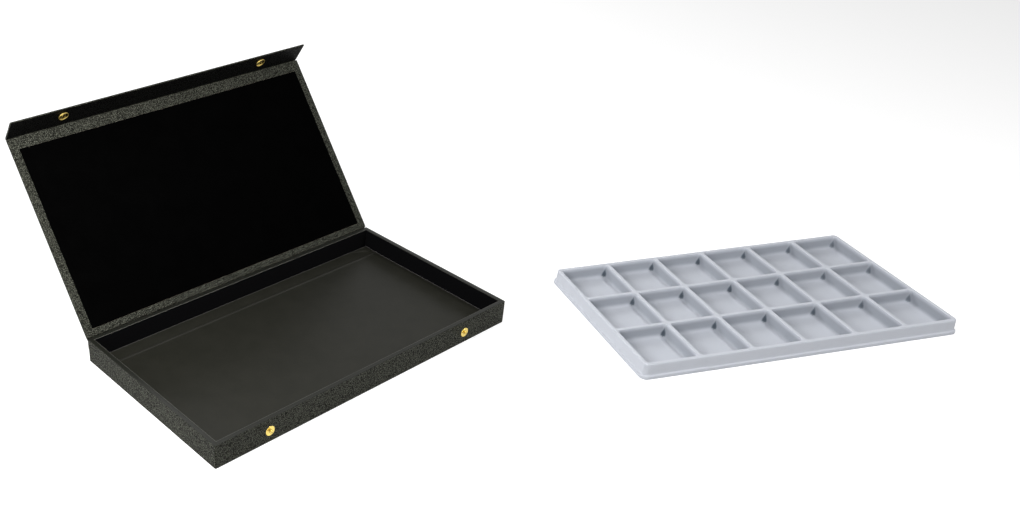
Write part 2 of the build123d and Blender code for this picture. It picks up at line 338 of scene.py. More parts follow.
def makeLeatherette(name, look):
    finish, tree, shader = newFinish(name)
    where = surfaceCoordinates(tree)
    drift = addNode(tree, "TexNoise", {"Vector": where}, Scale=look["driftsPerMetre"], Detail=2.0)
    centred = combined(tree, "SUBTRACT", drift.outputs["Color"], (0.5, 0.5, 0.5), kind="VectorMath")
    shifted = addNode(tree, "VectorMath", {0: centred}, operation="SCALE", Scale=look["drift"])
    warped = combined(tree, "ADD", where, shifted.outputs[0], kind="VectorMath")
    pebbles = addNode(tree, "TexVoronoi", {"Vector": warped}, feature="DISTANCE_TO_EDGE")
    fill(pebbles, Scale=look["pebblesPerMetre"])
    domes = addNode(tree, "MapRange", {"Value": pebbles.outputs["Distance"]})
    valley, full = look["pebbleEdge"]
    fill(domes, interpolation_type="SMOOTHSTEP", From_Min=valley, From_Max=full)
    crown = domes.outputs["Result"]
    specks = noiseField(tree, where, look["specksPerMetre"], 3.0)
    patches = valueBetween(tree, noiseField(tree, where, look["patchesPerMetre"], 3.0), 0, look["patch"])
    tone = combined(tree, "MULTIPLY_ADD", crown, 1 - look["patch"], patches)
    colour = colourBetween(tree, tone, look["valley"], look["crown"])
    # along the wall tops the grain is pressed flat and glossier, and its darker colour there is painted shade
    pressedAndShaded = pointValue(tree, "pressedAndShaded")
    mixedColour(tree, shader, pressedAndShaded, colour, look["pressedAndShaded"])
    grainGloss = valueBetween(tree, crown, *look["gloss"][:2])
    gloss = addNode(tree, "MapRange", {"Value": pressedAndShaded, "To Min": grainGloss}, To_Max=look["gloss"][2])
    tree.links.new(gloss.outputs["Result"], shader.inputs["Roughness"])
    tree.links.new(valueBetween(tree, pressedAndShaded, *look["shine"]), shader.inputs["Specular IOR Level"])
    height = combined(tree, "MULTIPLY_ADD", specks, look["speckHeight"], crown)
    flattened = valueBetween(tree, pressedAndShaded, 1, look["pressedRelief"])
    addBump(tree, shader, combined(tree, "MULTIPLY", height, flattened), 1.0, look["relief"])
    return finish


velvetLook = {
    "deep": (0.0006, 0.0006, 0.0006),
    "nap": (0.0013, 0.0013, 0.0013),
    "brushedPerMetre": 38.0,
    "sheen": 0.006,
    "pilePerMetre": 3200.0,
    "relief": 0.2 * mm,
}


def makeVelvet(look=velvetLook):
    finish, tree, shader = newFinish("blackVelvet")
    where = surfaceCoordinates(tree)
    brushed = noiseField(tree, where, look["brushedPerMetre"], 5.0, Distortion=0.6)
    pile = noiseField(tree, where, look["pilePerMetre"], 2.0)
    colour = colourBetween(tree, brushed, look["deep"], look["nap"])
    tree.links.new(colour, shader.inputs["Base Color"])
    fill(shader, Roughness=1.0, Specular_IOR_Level=0.0, Sheen_Weight=look["sheen"], Sheen_Roughness=0.35)
    addBump(tree, shader, pile, 0.5, look["relief"])
    return finish


liningLook = {
    "dark": (0.0015, 0.0015, 0.0018),
    "light": (0.0032, 0.0032, 0.0036),
    "cutEdgeAndHighlight": (0.085, 0.083, 0.075),  # the board core seen along the lining's top edge, made pale as painted highlight
    "fibresPerMetre": 900.0,
    "shine": 0.035,
    "relief": 0.08 * mm,
}
rearEdgeHighlightLook = dict(liningLook, cutEdgeAndHighlight=(0.2, 0.195, 0.177))  # paler still: a stronger painted highlight along the rear wall's inner top edge


def makeLining(name, look):
    finish, tree, shader = newFinish(name)
    where = surfaceCoordinates(tree)
    fibres = noiseField(tree, where, look["fibresPerMetre"], 4.0)
    colour = colourBetween(tree, fibres, look["dark"], look["light"])
    # faces that look up take the pale edge colour: the board core, brightened as painted highlight of the
    # walls' inner top edges
    facing = addNode(tree, "SeparateXYZ", {"Vector": addNode(tree, "NewGeometry").outputs["Normal"]})
    mixedColour(tree, shader, facing.outputs["Z"], colour, look["cutEdgeAndHighlight"])
    fill(shader, Roughness=0.85, Specular_IOR_Level=look["shine"])
    addBump(tree, shader, fibres, 0.4, look["relief"])
    return finish


floorLook = {
    "dark": (0.011, 0.0112, 0.0083),
    "light": (0.0215, 0.021, 0.0168),
    # the cut edge's pale colour, brightened as painted highlight; it also paints the sheen along the ridge
    "cutEdgeAndHighlight": (0.085, 0.08, 0.08),
    "mottlePerMetre": 55.0,
    "fibresPerMetre": 1500.0,
    "contrast": 1.6,
    "gloss": (0.33, 0.38),
    "shine": 0.1,
    "relief": 0.05 * mm,
}


def makeFloorPaper(look=floorLook):
    finish, tree, shader = newFinish("floorPaper")
    where = surfaceCoordinates(tree)
    mottle = noiseField(tree, where, look["mottlePerMetre"], 6.0, Roughness=0.62)
    fibres = noiseField(tree, where, look["fibresPerMetre"], 3.0)
    spread = valueBetween(tree, combined(tree, "MULTIPLY", mottle, fibres), 0.0, look["contrast"])
    colour = colourBetween(tree, spread, look["dark"], look["light"])
    mixedColour(tree, shader, pointValue(tree, "cutEdgeAndHighlight"), colour, look["cutEdgeAndHighlight"])
    tree.links.new(valueBetween(tree, mottle, *look["gloss"]), shader.inputs["Roughness"])
    fill(shader, Specular_IOR_Level=look["shine"])
    addBump(tree, shader, fibres, 0.35, look["relief"])
    return finish


paperLooks = {
    "greyboard": {"dark": (0.2, 0.17, 0.13), "light": (0.42, 0.37, 0.3), "fibresPerMetre": 700.0},
    "basePaper": {"dark": (0.012, 0.012, 0.012), "light": (0.026, 0.026, 0.027), "fibresPerMetre": 800.0},
}
paperLooks["greyboard"].update(stretch=(1, 1, 6), roughness=0.9, relief=0)  # its plies lie close
paperLooks["basePaper"].update(stretch=(1, 1, 1), roughness=0.8, relief=0.06 * mm)


def makePaper(name):
    look = paperLooks[name]
    finish, tree, shader = newFinish(name)
    fibres = noiseField(tree, surfaceCoordinates(tree, look["stretch"]), look["fibresPerMetre"], 5.0)
    colour = colourBetween(tree, fibres, look["dark"], look["light"])
    tree.links.new(colour, shader.inputs["Base Color"])
    fill(shader, Roughness=look["roughness"])
    if look["relief"]:
        addBump(tree, shader, fibres, 0.4, look["relief"])
    return finish


metalLooks = {
    "paleBrass": {"dull": (0.6, 0.43, 0.1), "bright": (0.8, 0.64, 0.2), "gloss": (0.18, 0.32)},
    "wornBrass": {"dull": (0.7, 0.5, 0.12), "bright": (0.95, 0.76, 0.26), "gloss": (0.42, 0.52)},
    "springWire": {"dull": (0.5, 0.44, 0.3), "bright": (0.75, 0.68, 0.5), "gloss": (0.25, 0.4)},
}
metalSurface = {"cloudsPerMetre": 420.0, "scuffsPerMetre": 1800.0, "relief": 0.05 * mm, "paintedShadeTone": 0.1}


def makeMetal(name, surface=metalSurface):
    look = metalLooks[name]
    finish, tree, shader = newFinish(name)
    where = surfaceCoordinates(tree)
    clouds = noiseField(tree, where, surface["cloudsPerMetre"], 4.0)
    colour = colourBetween(tree, clouds, look["dull"], look["bright"])
    # the dark colour is painted shade in the snaps' splits, wells and flanks
    dark = [surface["paintedShadeTone"] * tone for tone in look["dull"]]
    mixedColour(tree, shader, pointValue(tree, "paintedShade"), colour, dark)
    tree.links.new(valueBetween(tree, clouds, *look["gloss"]), shader.inputs["Roughness"])
    fill(shader, Metallic=1.0)
    scuffs = noiseField(tree, where, surface["scuffsPerMetre"], 2.0)
    addBump(tree, shader, scuffs, 0.15, surface["relief"])
    return finish


flockLook = {
    "thin": (0.09, 0.11, 0.135),  # where the sheet stretched and the flock is sparse, and painted shade in the cells' recesses and corners
    "shade": (0.445, 0.463, 0.508),
    "pale": (0.545, 0.567, 0.618),
    "fuzzPerMetre": 1500.0,
    "cloudsPerMetre": 60.0,
    "spread": (-0.75, 1.25),  # from shade to pale, over the two fields together
    "shine": 0.12,
    "sheen": 0.1,
    "relief": 0.35 * mm,
}


def makeFlock(look=flockLook):
    finish, tree, shader = newFinish("greyFlock")
    where = surfaceCoordinates(tree)
    fuzz = noiseField(tree, where, look["fuzzPerMetre"], 4.0, Roughness=0.7)
    clouds = noiseField(tree, where, look["cloudsPerMetre"], 4.0)
    spread = valueBetween(tree, combined(tree, "ADD", fuzz, clouds), *look["spread"])
    colour = colourBetween(tree, spread, look["shade"], look["pale"])
    # the stretch attribute mixes in the dark colour: partly thinner flock, partly painted shade of the cells'
    # walls, floors and corners
    mixedColour(tree, shader, pointValue(tree, "stretch"), colour, look["thin"])
    fill(shader, Roughness=0.95, Specular_IOR_Level=look["shine"])
    fill(shader, Sheen_Weight=look["sheen"], Sheen_Roughness=0.5)
    addBump(tree, shader, fuzz, 0.6, look["relief"])
    return finish


leatherette = makeLeatherette("pebbledLeatherette", leatheretteLook)
litLeafLeatherette = makeLeatherette("litLeafLeatherette", litLeafLeatheretteLook)
flapPanel = makeLeatherette("flapPanel", flapPanelLook)
velvet = makeVelvet()
lining = makeLining("blackLining", liningLook)
rearLining = makeLining("rearLining", rearEdgeHighlightLook)
floorPaper = makeFloorPaper()
board = makePaper("greyboard")
basePaper = makePaper("basePaper")
brass = makeMetal("paleBrass")
wornBrass = makeMetal("wornBrass")
springWire = makeMetal("springWire")
flock = makeFlock()

# the solids that stay as they are
nodeFinishes = {
    "base_board front_board rear_board left_board right_board lid_board flap_board": board,
    "base_paper": basePaper,
    "front_lining left_lining right_lining floor_liner": lining,
    "rear_lining": rearLining,
    "stud_rivets": brass,
    "snap_springs": springWire,
}
for nodeNames, finish in nodeFinishes.items():
    for nodeName in nodeNames.split():
        nodeMesh = frame["nodes"][nodeName].data
        nodeMesh.materials.clear()
        nodeMesh.materials.append(finish)

print("carry case: finishes made")

coveringCounts = {"corner": 5, "alongX": 60, "alongY": 34}

caseCovering = {
    "skin": 0.42 * mm,
    "corner": 1.3 * mm,
    "underRoll": 0.3 * mm,
    "topRoll": 0.55 * mm,
    "innerRoll": 0.45 * mm,
    "turnIn": 7 * mm,
    "overBoard": 0.5 * mm,  # how far the turned-in edge stands off the board's inner face
    "pressedFrom": 0.4 * mm,  # under the wall top
    "pressedTo": 0.1 * mm,
    "uneven": (17 * mm, 0.07 * mm),
    "counts": coveringCounts,
}


def makeCaseCovering(look=caseCovering):
    low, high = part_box("box_wrap")
    wallTop = high.z
    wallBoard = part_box("left_board")
    inner = wallBoard[1].x - low.x + look["overBoard"]
    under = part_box("base_paper")[0].x - low.x
    topRoll, innerRoll, underRoll = look["topRoll"], look["innerRoll"], look["underRoll"]
    section = [(inner, wallBoard[1].z - look["turnIn"]), (inner, wallTop - 3 * innerRoll)]
    section += arcSteps((inner - innerRoll, wallTop - innerRoll), innerRoll, 0, 90, 3)
    section += [(inner - 2 * innerRoll, wallTop), (2 * topRoll, wallTop)]
    section += arcSteps((topRoll, wallTop - topRoll), topRoll, 90, 180, 4)
    section += [(0, wallTop - 2 * topRoll), (0, wallTop / 2), (0, 2 * underRoll)]
    section += arcSteps((underRoll, underRoll), underRoll, 180, 270, 4)
    section += [(2 * underRoll, 0), (under, 0)]
    rings = []
    for inset, height in section:
        loop = insetLoop(low, high, inset, look["corner"], height, look["counts"])
        if height > underRoll:  # the underside stays flat on the table
            loop = [uneven(point, *look["uneven"]) for point in loop]
        for point in loop:
            point.z = min(point.z, wallTop)
        rings.append(loop)
    piece = makePiece("caseCovering", ringSheet(rings), leatherette, thickness=look["skin"])
    # the wall tops: grain pressed flat, and the colour darkened there as painted shade
    pressedAndShaded = piece.data.attributes.new("pressedAndShaded", "FLOAT", "POINT")
    start, full = wallTop - look["pressedFrom"], wallTop - look["pressedTo"]
    for vertex in piece.data.vertices:
        pressedAndShaded.data[vertex.index].value = smoothStep(start, full, vertex.co.z)
    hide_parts("box_wrap")
    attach(piece, "box")


makeCaseCovering()

leafCovering = {
    "skin": 0.34 * mm,
    "corner": 1.3 * mm,
    "roll": 0.55 * mm,
    "windowGap": 0.12 * mm,
    "windowDepths": (0.3 * mm, 0.08 * mm),
    "lip": 0.1 * mm,  # how far the window's edge is rounded back
    "outerBorder": 5 * mm,
    "uneven": (19 * mm, 0.05 * mm),
    "counts": coveringCounts,
}
flapLeafCovering = dict(leafCovering, windowGap=0.1 * mm, counts=dict(coveringCounts, alongY=6))


def leafSheet(wrapNode, panelNode, place, look):
    # from the window for the panel in the inner face, round the edges to the outer face
    low, high = localBox(wrapNode, place)
    panelLow, panelHigh = localBox(panelNode, place)
    roll, counts = look["roll"], look["counts"]
    gap = look["windowGap"]
    window = [(-gap, high.z - depth) for depth in look["windowDepths"]] + [(-gap - look["lip"], high.z)]
    corner = sharpestCorner - gap
    rings = [insetLoop(panelLow, panelHigh, inset, corner, height, counts) for inset, height in window]
    section = [(2 * roll, high.z)]
    section += arcSteps((roll, high.z - roll), roll, 90, 180, 4)
    section += arcSteps((roll, low.z + roll), roll, 180, 270, 4)
    section += [(2 * roll, low.z), (look["outerBorder"], low.z)]
    flatRings = len(rings) + 1  # up to where the edge starts to turn
    for inset, height in section:
        rings.append(insetLoop(low, high, inset, look["corner"], height, counts))
    for number in range(flatRings, len(rings)):
        rings[number] = [uneven(point, *look["uneven"]) for point in rings[number]]
    return ringSheet(rings, endCap=True)


def makeLidCovering(look=leafCovering):
    sheet = leafSheet("lid_wrap", "lid_velvet", lidPlace, look)
    piece = makePiece("lidCovering", sheet, litLeafLeatherette, lidPlace, look["skin"])
    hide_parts("lid_wrap")
    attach(piece, "lid")


def makeFlapCovering(look=flapLeafCovering):
    sheet = leafSheet("flap_wrap", "flap_lining", flapPlace, look)
    piece = makePiece("flapCovering", sheet, litLeafLeatherette, flapPlace, look["skin"])
    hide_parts("flap_wrap")
    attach(piece, "flap")


flapInnerPanel = {
    "margin": 0.55 * mm,
    "hingeMargin": 0.2 * mm,
    "corner": 0.6 * mm,
    "depth": 0.3 * mm,
    "proud": 0.12 * mm,
    "roll": 0.3 * mm,
    "rollSteps": 3,
    "backBorder": 2 * mm,
    "faceBorders": (1.5 * mm, 5 * mm),
    "uneven": (16 * mm, 0.04 * mm),
    "counts": {"corner": 3, "alongX": 60, "alongY": 8},
}


def panelRings(low, high, back, face, faceRows, look):
    # from the back of a panel, round its rolled edge and over its face
    roll = look["roll"]
    section = [(look["backBorder"], back), (0, back), (0, face - roll)]
    section += arcSteps((roll, face - roll), roll, 180, 90, look["rollSteps"]) + faceRows
    return [insetLoop(low, high, inset, look["corner"], height, look["counts"]) for inset, height in section]


def makeFlapPanel(look=flapInnerPanel):
    # the panel lies over the turned-in covering, nearly out to the flap's edges
    low, high = localBox("flap_wrap", flapPlace)
    near = (low.x + look["margin"], low.y + look["hingeMargin"])
    far = (high.x - look["margin"], high.y - look["margin"])
    face = high.z + look["proud"]
    faceRows = [(border, face) for border in look["faceBorders"]]
    rings = panelRings(near, far, high.z - look["depth"], face, faceRows, look)
    for number in range(4, len(rings)):  # from where the edge turns over
        rings[number] = [uneven(point, *look["uneven"]) for point in rings[number]]
    sheet = ringSheet(rings, startCap=True, endCap=True, flip=True)
    piece = makePiece("flapPanel", sheet, flapPanel, flapPlace)
    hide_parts("flap_lining")
    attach(piece, "flap")


makeLidCovering()
makeFlapCovering()
makeFlapPanel()

velvetPanel = {
    "corner": 0.6 * mm,
    "roll": 0.4 * mm,
    "puff": 0.12 * mm,
    "rollSteps": 4,
    "backBorder": 4 * mm,
    "puffRows": ((1.5 * mm, 0.4), (5 * mm, 1.0), (40 * mm, 1.0)),  # distance in, and share of the puff
    "counts": {"corner": 3, "alongX": 50, "alongY": 28},
}


def makeVelvetPanel(look=velvetPanel):
    low, high = localBox("lid_velvet", lidPlace)
    face = high.z - look["puff"]
    faceRows = [(inset, face + share * look["puff"]) for inset, share in look["puffRows"]]
    rings = panelRings(low, high, low.z, face, faceRows, look)
    sheet = ringSheet(rings, startCap=True, endCap=True, flip=True)
    piece = makePiece("velvetPanel", sheet, velvet, lidPlace)
    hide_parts("lid_velvet")
    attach(piece, "lid")


makeVelvetPanel()

print("carry case: covering and velvet made")

floorSheet = {
    "skin": 0.35 * mm,
    "sideGap": 0.9 * mm,
    "rearGap": 2.0 * mm,
    "ridgeHeight": 0.4 * mm,
    "ridgeWidth": 1.3 * mm,
    "ridgeFromWall": 1.85,  # against the distance of the pad's own edge from the rear lining
    "ridgeShift": 0.4 * mm,
    "rise": 0.8 * mm,  # behind the ridge the sheet lifts towards the rear wall
    "riseBeyond": 3 * mm,
    "belowPad": 0.05 * mm,
    "lip": 0.45 * mm,
    "lipWidth": 0.8 * mm,
    # the pale cut edge, partly painted highlight, and the painted sheen along the ridge
    "cutEdgeAndHighlight": 0.9 * mm,
    "ridgeSheen": 0.1,
    "swell": 0.1 * mm,
    "swellSpan": 48 * mm,
    "dimple": 0.025 * mm,
    "dimpleSpan": 12 * mm,
    # two folds across the rear right corner: height, reach along each wall, and width
    "creases": ((0.6 * mm, 24 * mm, 9 * mm, 0.9 * mm), (0.36 * mm, 12 * mm, 17 * mm, 0.8 * mm)),
    "creaseCorner": 1 * mm,
    "step": 3.2 * mm,
}
closestRows = 0.12 * mm


def spacedSteps(start, end, step, closeUps):
    # even steps, with fine ones within a little of each close-up
    spots = {start, end}
    count = int((end - start) / step)
    spots.update(start + (end - start) * number / count for number in range(count + 1))
    for centre, reach, fine in closeUps:
        count = int(2 * reach / fine)
        spots.update(centre - reach + fine * number for number in range(count + 1))
    kept = []
    for spot in sorted(spot for spot in spots if start <= spot <= end):
        if not kept or spot - kept[-1] > closestRows:
            kept.append(spot)
    kept[-1] = end
    return kept


def makeFloorSheet(look=floorSheet):
    gap = look["sideGap"]
    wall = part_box("rear_lining")[0].y
    x0, x1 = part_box("left_lining")[1].x + gap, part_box("right_lining")[0].x - gap
    y0, y1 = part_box("front_lining")[1].y + gap, wall - look["rearGap"]
    ridge = wall - look["ridgeFromWall"] * (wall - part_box("floor_pad")[1].y)
    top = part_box("floor_pad")[1].z - look["belowPad"]
    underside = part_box("floor_pad")[0].z
    cornerX, cornerY = x1 - look["creaseCorner"], y1 - look["creaseCorner"]

    def crease(x, y, along, across, width):
        # how high a spot lies on a fold from the right wall to the rear wall, fading at its ends
        run = Vector((-along, across, 0)).normalized()
        side = Vector((-run.y, run.x, 0))
        offset = Vector((x - cornerX, y - (cornerY - across), 0))
        reach = offset.dot(run) / Vector((along, across, 0)).length
        fade = smoothStep(-0.02, 0.12, reach) * smoothStep(1.05, 0.8, reach)
        return hump(offset.dot(side), width) * fade

    def fromEdge(x, y):
        return min(x - x0, x1 - x, y - y0, y1 - y)

    def ridgeAt(y):
        return hump(y - ridge + look["ridgeShift"], look["ridgeWidth"])

    def heightAt(x, y):
        spot = Vector((x, y, 0))
        edge = fromEdge(x, y)
        if edge < 0.01 * mm:  # the outermost row is pressed down on the liner
            return underside + look["skin"]
        height = top + look["rise"] * smoothStep(ridge, y1 + look["riseBeyond"], y)
        height += look["ridgeHeight"] * ridgeAt(y)
        height += look["swell"] * noise.noise(spot / look["swellSpan"])
        height += look["dimple"] * noise.noise(spot / look["dimpleSpan"])
        height += look["lip"] * hump(edge, look["lipWidth"])
        for rise, along, across, width in look["creases"]:
            height += rise * crease(x, y, along, across, width)
        return height

    def paleAt(x, y):
        # pale along the cut edge, partly painted highlight, and painted sheen along the ridge
        cut = smoothStep(look["cutEdgeAndHighlight"], 0.4 * look["cutEdgeAndHighlight"], fromEdge(x, y))
        return max(cut, look["ridgeSheen"] * ridgeAt(y))

    # finer rows at the edges, the creases and the ridge: middle, reach and step
    ends = ((x0, 2 * mm, 0.3 * mm), (x1, 2 * mm, 0.3 * mm), (x1 - 14 * mm, 14 * mm, 0.7 * mm))
    sides = ((y0, 2 * mm, 0.3 * mm), (y1 - 9 * mm, 11 * mm, 0.5 * mm), (ridge, 2 * mm, 0.25 * mm))
    xs = spacedSteps(x0, x1, look["step"], ends)
    ys = spacedSteps(y0, y1, look["step"], sides)
    sheet = gridSheet(xs, ys, heightAt, paleAt)
    piece = makePiece("floorSheet", sheet, floorPaper, None, look["skin"], 60, keepFlats=False)
    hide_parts("floor_pad")
    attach(piece, "box")


makeFloorSheet()

print("carry case: floor made")

hingeCloth = {
    "thickness": 0.36 * mm,
    "off": 0.04 * mm,  # the glue under the cloth
    "lap": 8 * mm,
    "wallDrop": 4 * mm,  # from the hinge line down to where the cloth lies on the rear wall
    "lidStart": 1.6 * mm,
    "flapStart": 1.1 * mm,
    "wallPull": 1.8 * mm,  # how far each bend runs on in the direction of its lap
    "lidPull": 1.6 * mm,
    "flapPull": 0.9 * mm,
    "bendSteps": 16,
    "lapSteps": 4,
    "lengthSteps": 90,
    "uneven": (15 * mm, 0.06 * mm),
}


def curvePoint(a, b, c, d, share):
    rest = 1 - share
    return rest**3 * a + 3 * rest**2 * share * b + 3 * rest * share**2 * c + share**3 * d


def clothPath(lapEnd, start, end, leafEnd, pulls, look):
    # along the first lap, round the bend and along the second lap
    first = start + (start - lapEnd).normalized() * pulls[0]
    last = end - (leafEnd - end).normalized() * pulls[1]
    path = [lapEnd.lerp(start, step / look["lapSteps"]) for step in range(look["lapSteps"])]
    for step in range(look["bendSteps"] + 1):
        path.append(curvePoint(start, first, last, end, step / look["bendSteps"]))
    return path + [end.lerp(leafEnd, step / look["lapSteps"]) for step in range(1, look["lapSteps"] + 1)]


def makeHingeCloth(name, node, path, bendStart, bendEnd, look=hingeCloth):
    low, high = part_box(node)
    count = look["lengthSteps"]
    xs = [low.x + (high.x - low.x) * number / count for number in range(count + 1)]
    rings = [[Vector((x, spot.y, spot.z)) for x in xs] for spot in path]
    rings = [[uneven(point, *look["uneven"]) for point in ring] for ring in rings]
    sheet = ringSheet(rings, closed=False)
    piece = makePiece(name, sheet, leatherette, thickness=look["thickness"], keepFlats=False)
    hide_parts(node)
    tuple(bendStart)
    tuple(bendEnd)
    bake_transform(piece)


clothOut = hingeCloth["thickness"] + hingeCloth["off"]
lidOuter = localBox("lid_wrap", lidPlace)[0].z - clothOut


def onLid(y):
    return lidPlace @ Vector((0, y, lidOuter))


def makeRearHinge(look=hingeCloth):
    wall = Vector(lidJoint["pos_m"]) + Vector((0, clothOut, 0))
    start = wall + Vector((0, 0, -look["wallDrop"]))
    lapEnd = start + Vector((0, 0, -look["lap"]))
    end, leafEnd = onLid(look["lidStart"]), onLid(look["lidStart"] + look["lap"])
    path = clothPath(lapEnd, start, end, leafEnd, (look["wallPull"], look["lidPull"]), look)
    makeHingeCloth("rearHingeCloth", "rear_hinge_cloth", path, start, end)


def makeFlapHinge(look=hingeCloth):
    lidEnd = (lidPlace.inverted() @ Vector(flapJoint["pos_m"])).y - look["flapStart"]
    start, lapEnd = onLid(lidEnd), onLid(lidEnd - look["lap"])
    end = flapPlace @ Vector((0, look["flapStart"], -clothOut))
    leafEnd = flapPlace @ Vector((0, look["flapStart"] + look["lap"], -clothOut))
    path = clothPath(lapEnd, start, end, leafEnd, (look["flapPull"], look["flapPull"]), look)
    makeHingeCloth("flapHingeCloth", "flap_hinge_cloth", path, start, end)


makeRearHinge()
makeFlapHinge()

print("carry case: hinges made")

snapMetal = {
    "crossDepth": 0.32 * mm,  # of the four splits in the end of the post
    "crossRadius": 0.75 * mm,
    "crossReach": 0.5 * mm,
    # painted shade round the foot of the stud's post
    "footPaintedShade": 0.35,
    "wellRadius": 4.9 * mm,
    "wellHeight": 1 * mm,
}


def snapSpots(node, place):
    # the middles of the two snaps of a node, from its box along the leaf
    low, high = localBox(node, place)
    radius = max(high.y - low.y, high.z - low.z) / 2
    middle = (low + high) / 2
    return [Vector((x, middle.y, middle.z)) for x in (low.x + radius, high.x - radius)]


def makeSnapStuds(look=snapMetal):
    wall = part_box("box_wrap")[0].y
    outwards = Matrix.Rotation(math.radians(90), 4, "X")
    spots = snapSpots("snap_studs", Matrix())
    places = [Matrix.Translation((spot.x, wall, spot.z)) @ outwards for spot in spots]
    section = [(0, 0), (4.85, 0), (5.0, 0.08), (5.0, 0.22), (4.9, 0.36), (4.7, 0.42), (4.3, 0.4), (3.3, 0.26)]
    section += [(2.3, 0.3), (1.8, 0.5), (1.5, 0.66), (1.48, 1.84), (1.64, 1.96), (1.84, 2.08), (1.82, 2.2)]
    section += [(1.66, 2.34), (1.4, 2.4), (1.15, 2.36), (0.85, 2.2), (0.45, 2.05), (0.2, 2.0), (0, 2.0)]

    def crossCut(radius, height, angle):
        # four short splits where the end of the post was opened out
        if height < 1.99 * mm or radius > 1.5 * mm:
            return 0
        across = hump(radius - look["crossRadius"], look["crossReach"])
        return -look["crossDepth"] * max(-math.cos(4 * angle), 0) ** 3 * across

    def paintedShadeAt(radius, height, angle):
        # painted shade in the splits of the post and round its foot
        if height > 1.6 * mm:
            return 0.9 * max(-math.cos(4 * angle), 0) ** 2 * smoothStep(2.2 * mm, 1.4 * mm, radius)
        return look["footPaintedShade"] * hump(radius - 1.6 * mm, 0.5 * mm) if height < 1 * mm else 0

    sheet = turnedSheet(section, places, crossCut, paintedShadeAt)
    piece = makePiece("snapStuds", sheet, brass, sharpAngle=50)
    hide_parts("snap_studs")
    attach(piece, "box")


def flapPlaces(node, height):
    return [flapPlace @ Matrix.Translation((spot.x, spot.y, height)) for spot in snapSpots(node, flapPlace)]


def makeSnapSockets(look=snapMetal):
    places = flapPlaces("snap_sockets", localBox("flap_lining", flapPlace)[1].z)
    section = [(2.44, 0), (2.44, 0.6), (2.6, 0.74), (3.2, 0.84), (4.2, 0.93), (4.75, 1.05), (5.0, 1.24)]
    section += [(5.08, 1.4), (5.18, 1.49), (5.3, 1.5), (5.41, 1.44), (5.48, 1.3), (5.5, 1.1), (5.5, 0.2)]
    section.append((5.42, 0))

    def paintedShadeAt(radius, height, angle):
        # painted shade: the rim darker on the hinge side, the well dark but for a crescent on the hinge side,
        # and the flank under the rim dark
        toEdge = math.sin(angle)
        if radius < look["wellRadius"]:
            return smoothStep(-0.75, -0.4, toEdge)
        return 1 if height < look["wellHeight"] else 0.5 * smoothStep(0.1, -0.6, toEdge)

    sheet = turnedSheet(section, places, paintedShadeAt=paintedShadeAt)
    piece = makePiece("snapSockets", sheet, wornBrass, sharpAngle=50)
    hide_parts("snap_sockets")
    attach(piece, "flap")


def makeSnapCaps():
    places = flapPlaces("snap_caps", 0)
    section = [(0, -1.1), (1.2, -1.085), (2.4, -1.04), (3.6, -0.95), (4.7, -0.8), (5.4, -0.64)]
    section += [(5.8, -0.48), (5.97, -0.3), (5.98, -0.14), (5.85, 0), (2.35, 0), (2.35, 3.0)]
    section += [(2.1, 3.0), (2.1, 0.15), (0, 0.1)]
    piece = makePiece("snapCaps", turnedSheet(section, places), brass, sharpAngle=50)
    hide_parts("snap_caps")
    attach(piece, "flap")


makeSnapStuds()
makeSnapSockets()
makeSnapCaps()

print("carry case: snaps made")

cellInsert = {
    "length": 358.8 * mm,
    "width": 193.7 * mm,
    "columns": 6,
    "rows": 3,
    "turn": -25.5,
    "sheet": 0.95 * mm,
    "footStep": 1.6 * mm,
    "footHeight": 3.6 * mm,
    "rimMargin": 4.1 * mm,
    "ribX": 4.2 * mm,
    "ribY": 3.6 * mm,
    "skirtSlope": math.tan(math.radians(3)),
    "cellDraft": 4,  # degrees
    "cellCorner": 3.2 * mm,
    "cornerGrowth": 2.0 * mm,  # the cells' corners open out towards the floor
    "outerCorner": 7 * mm,
    "cellDepth": 13.4 * mm,
    "rimRoll": 0.75 * mm,
    "floorFillet": 4.2 * mm,
    "floorRows": (3 * mm, 9 * mm),
    "outerRoll": 1.3 * mm,
    "kneeHeight": 0.9 * mm,  # over the foot
    # the foot's shape: share of its step out, and height against its top
    "footShape": ((0.12, 0.4), (0.4, 0.08), (0.72, -0.12), (0.93, -0.5), (1.0, -1.1)),
    "sole": 0.9 * mm,
    "uneven": (33 * mm, 0.16 * mm),
    "trueFoot": 0.5 * mm,  # the foot stays flat on the table up to here
    # flock darkening: partly a thinner drawn sheet, partly painted shade on the walls and floors; the corner
    # leaves are painted shade
    "wallThinningAndShade": 0.44,
    "floorThinningAndShade": 0.1,
    "paintedCornerShade": 0.6,
    "cornerShadeFade": 0.1,  # for each column past the third, the painted corner shade is this much fainter
    "weldWithin": 0.02 * mm,
    "counts": {"corner": 12, "alongX": 9, "alongY": 9},
}


def bridgeRows(sheet, upper, lower):
    for number in range(len(upper)):
        after = (number + 1) % len(upper)
        sheet.faces.new((upper[number], upper[after], lower[after], lower[number]))


def shareEdge(point, half, reach, radius):
    # from a point of a cell's outline straight out to the edge of the cell's share of the rim
    centreX, centreY = half[0] - radius, half[1] - radius
    overX, overY = abs(point.x) - centreX, abs(point.y) - centreY
    if overY < 1e-7:
        x, y = reach[0], abs(point.y)
    elif overX < 1e-7:
        x, y = abs(point.x), reach[1]
    elif abs(overX - overY) < 1e-6:
        x, y = reach
    elif overX > overY:
        x, y = reach[0], centreY + (reach[0] - centreX) * overY / overX
    else:
        x, y = centreX + (reach[1] - centreY) * overX / overY, reach[1]
    return Vector((math.copysign(x, point.x), math.copysign(y, point.y), point.z))


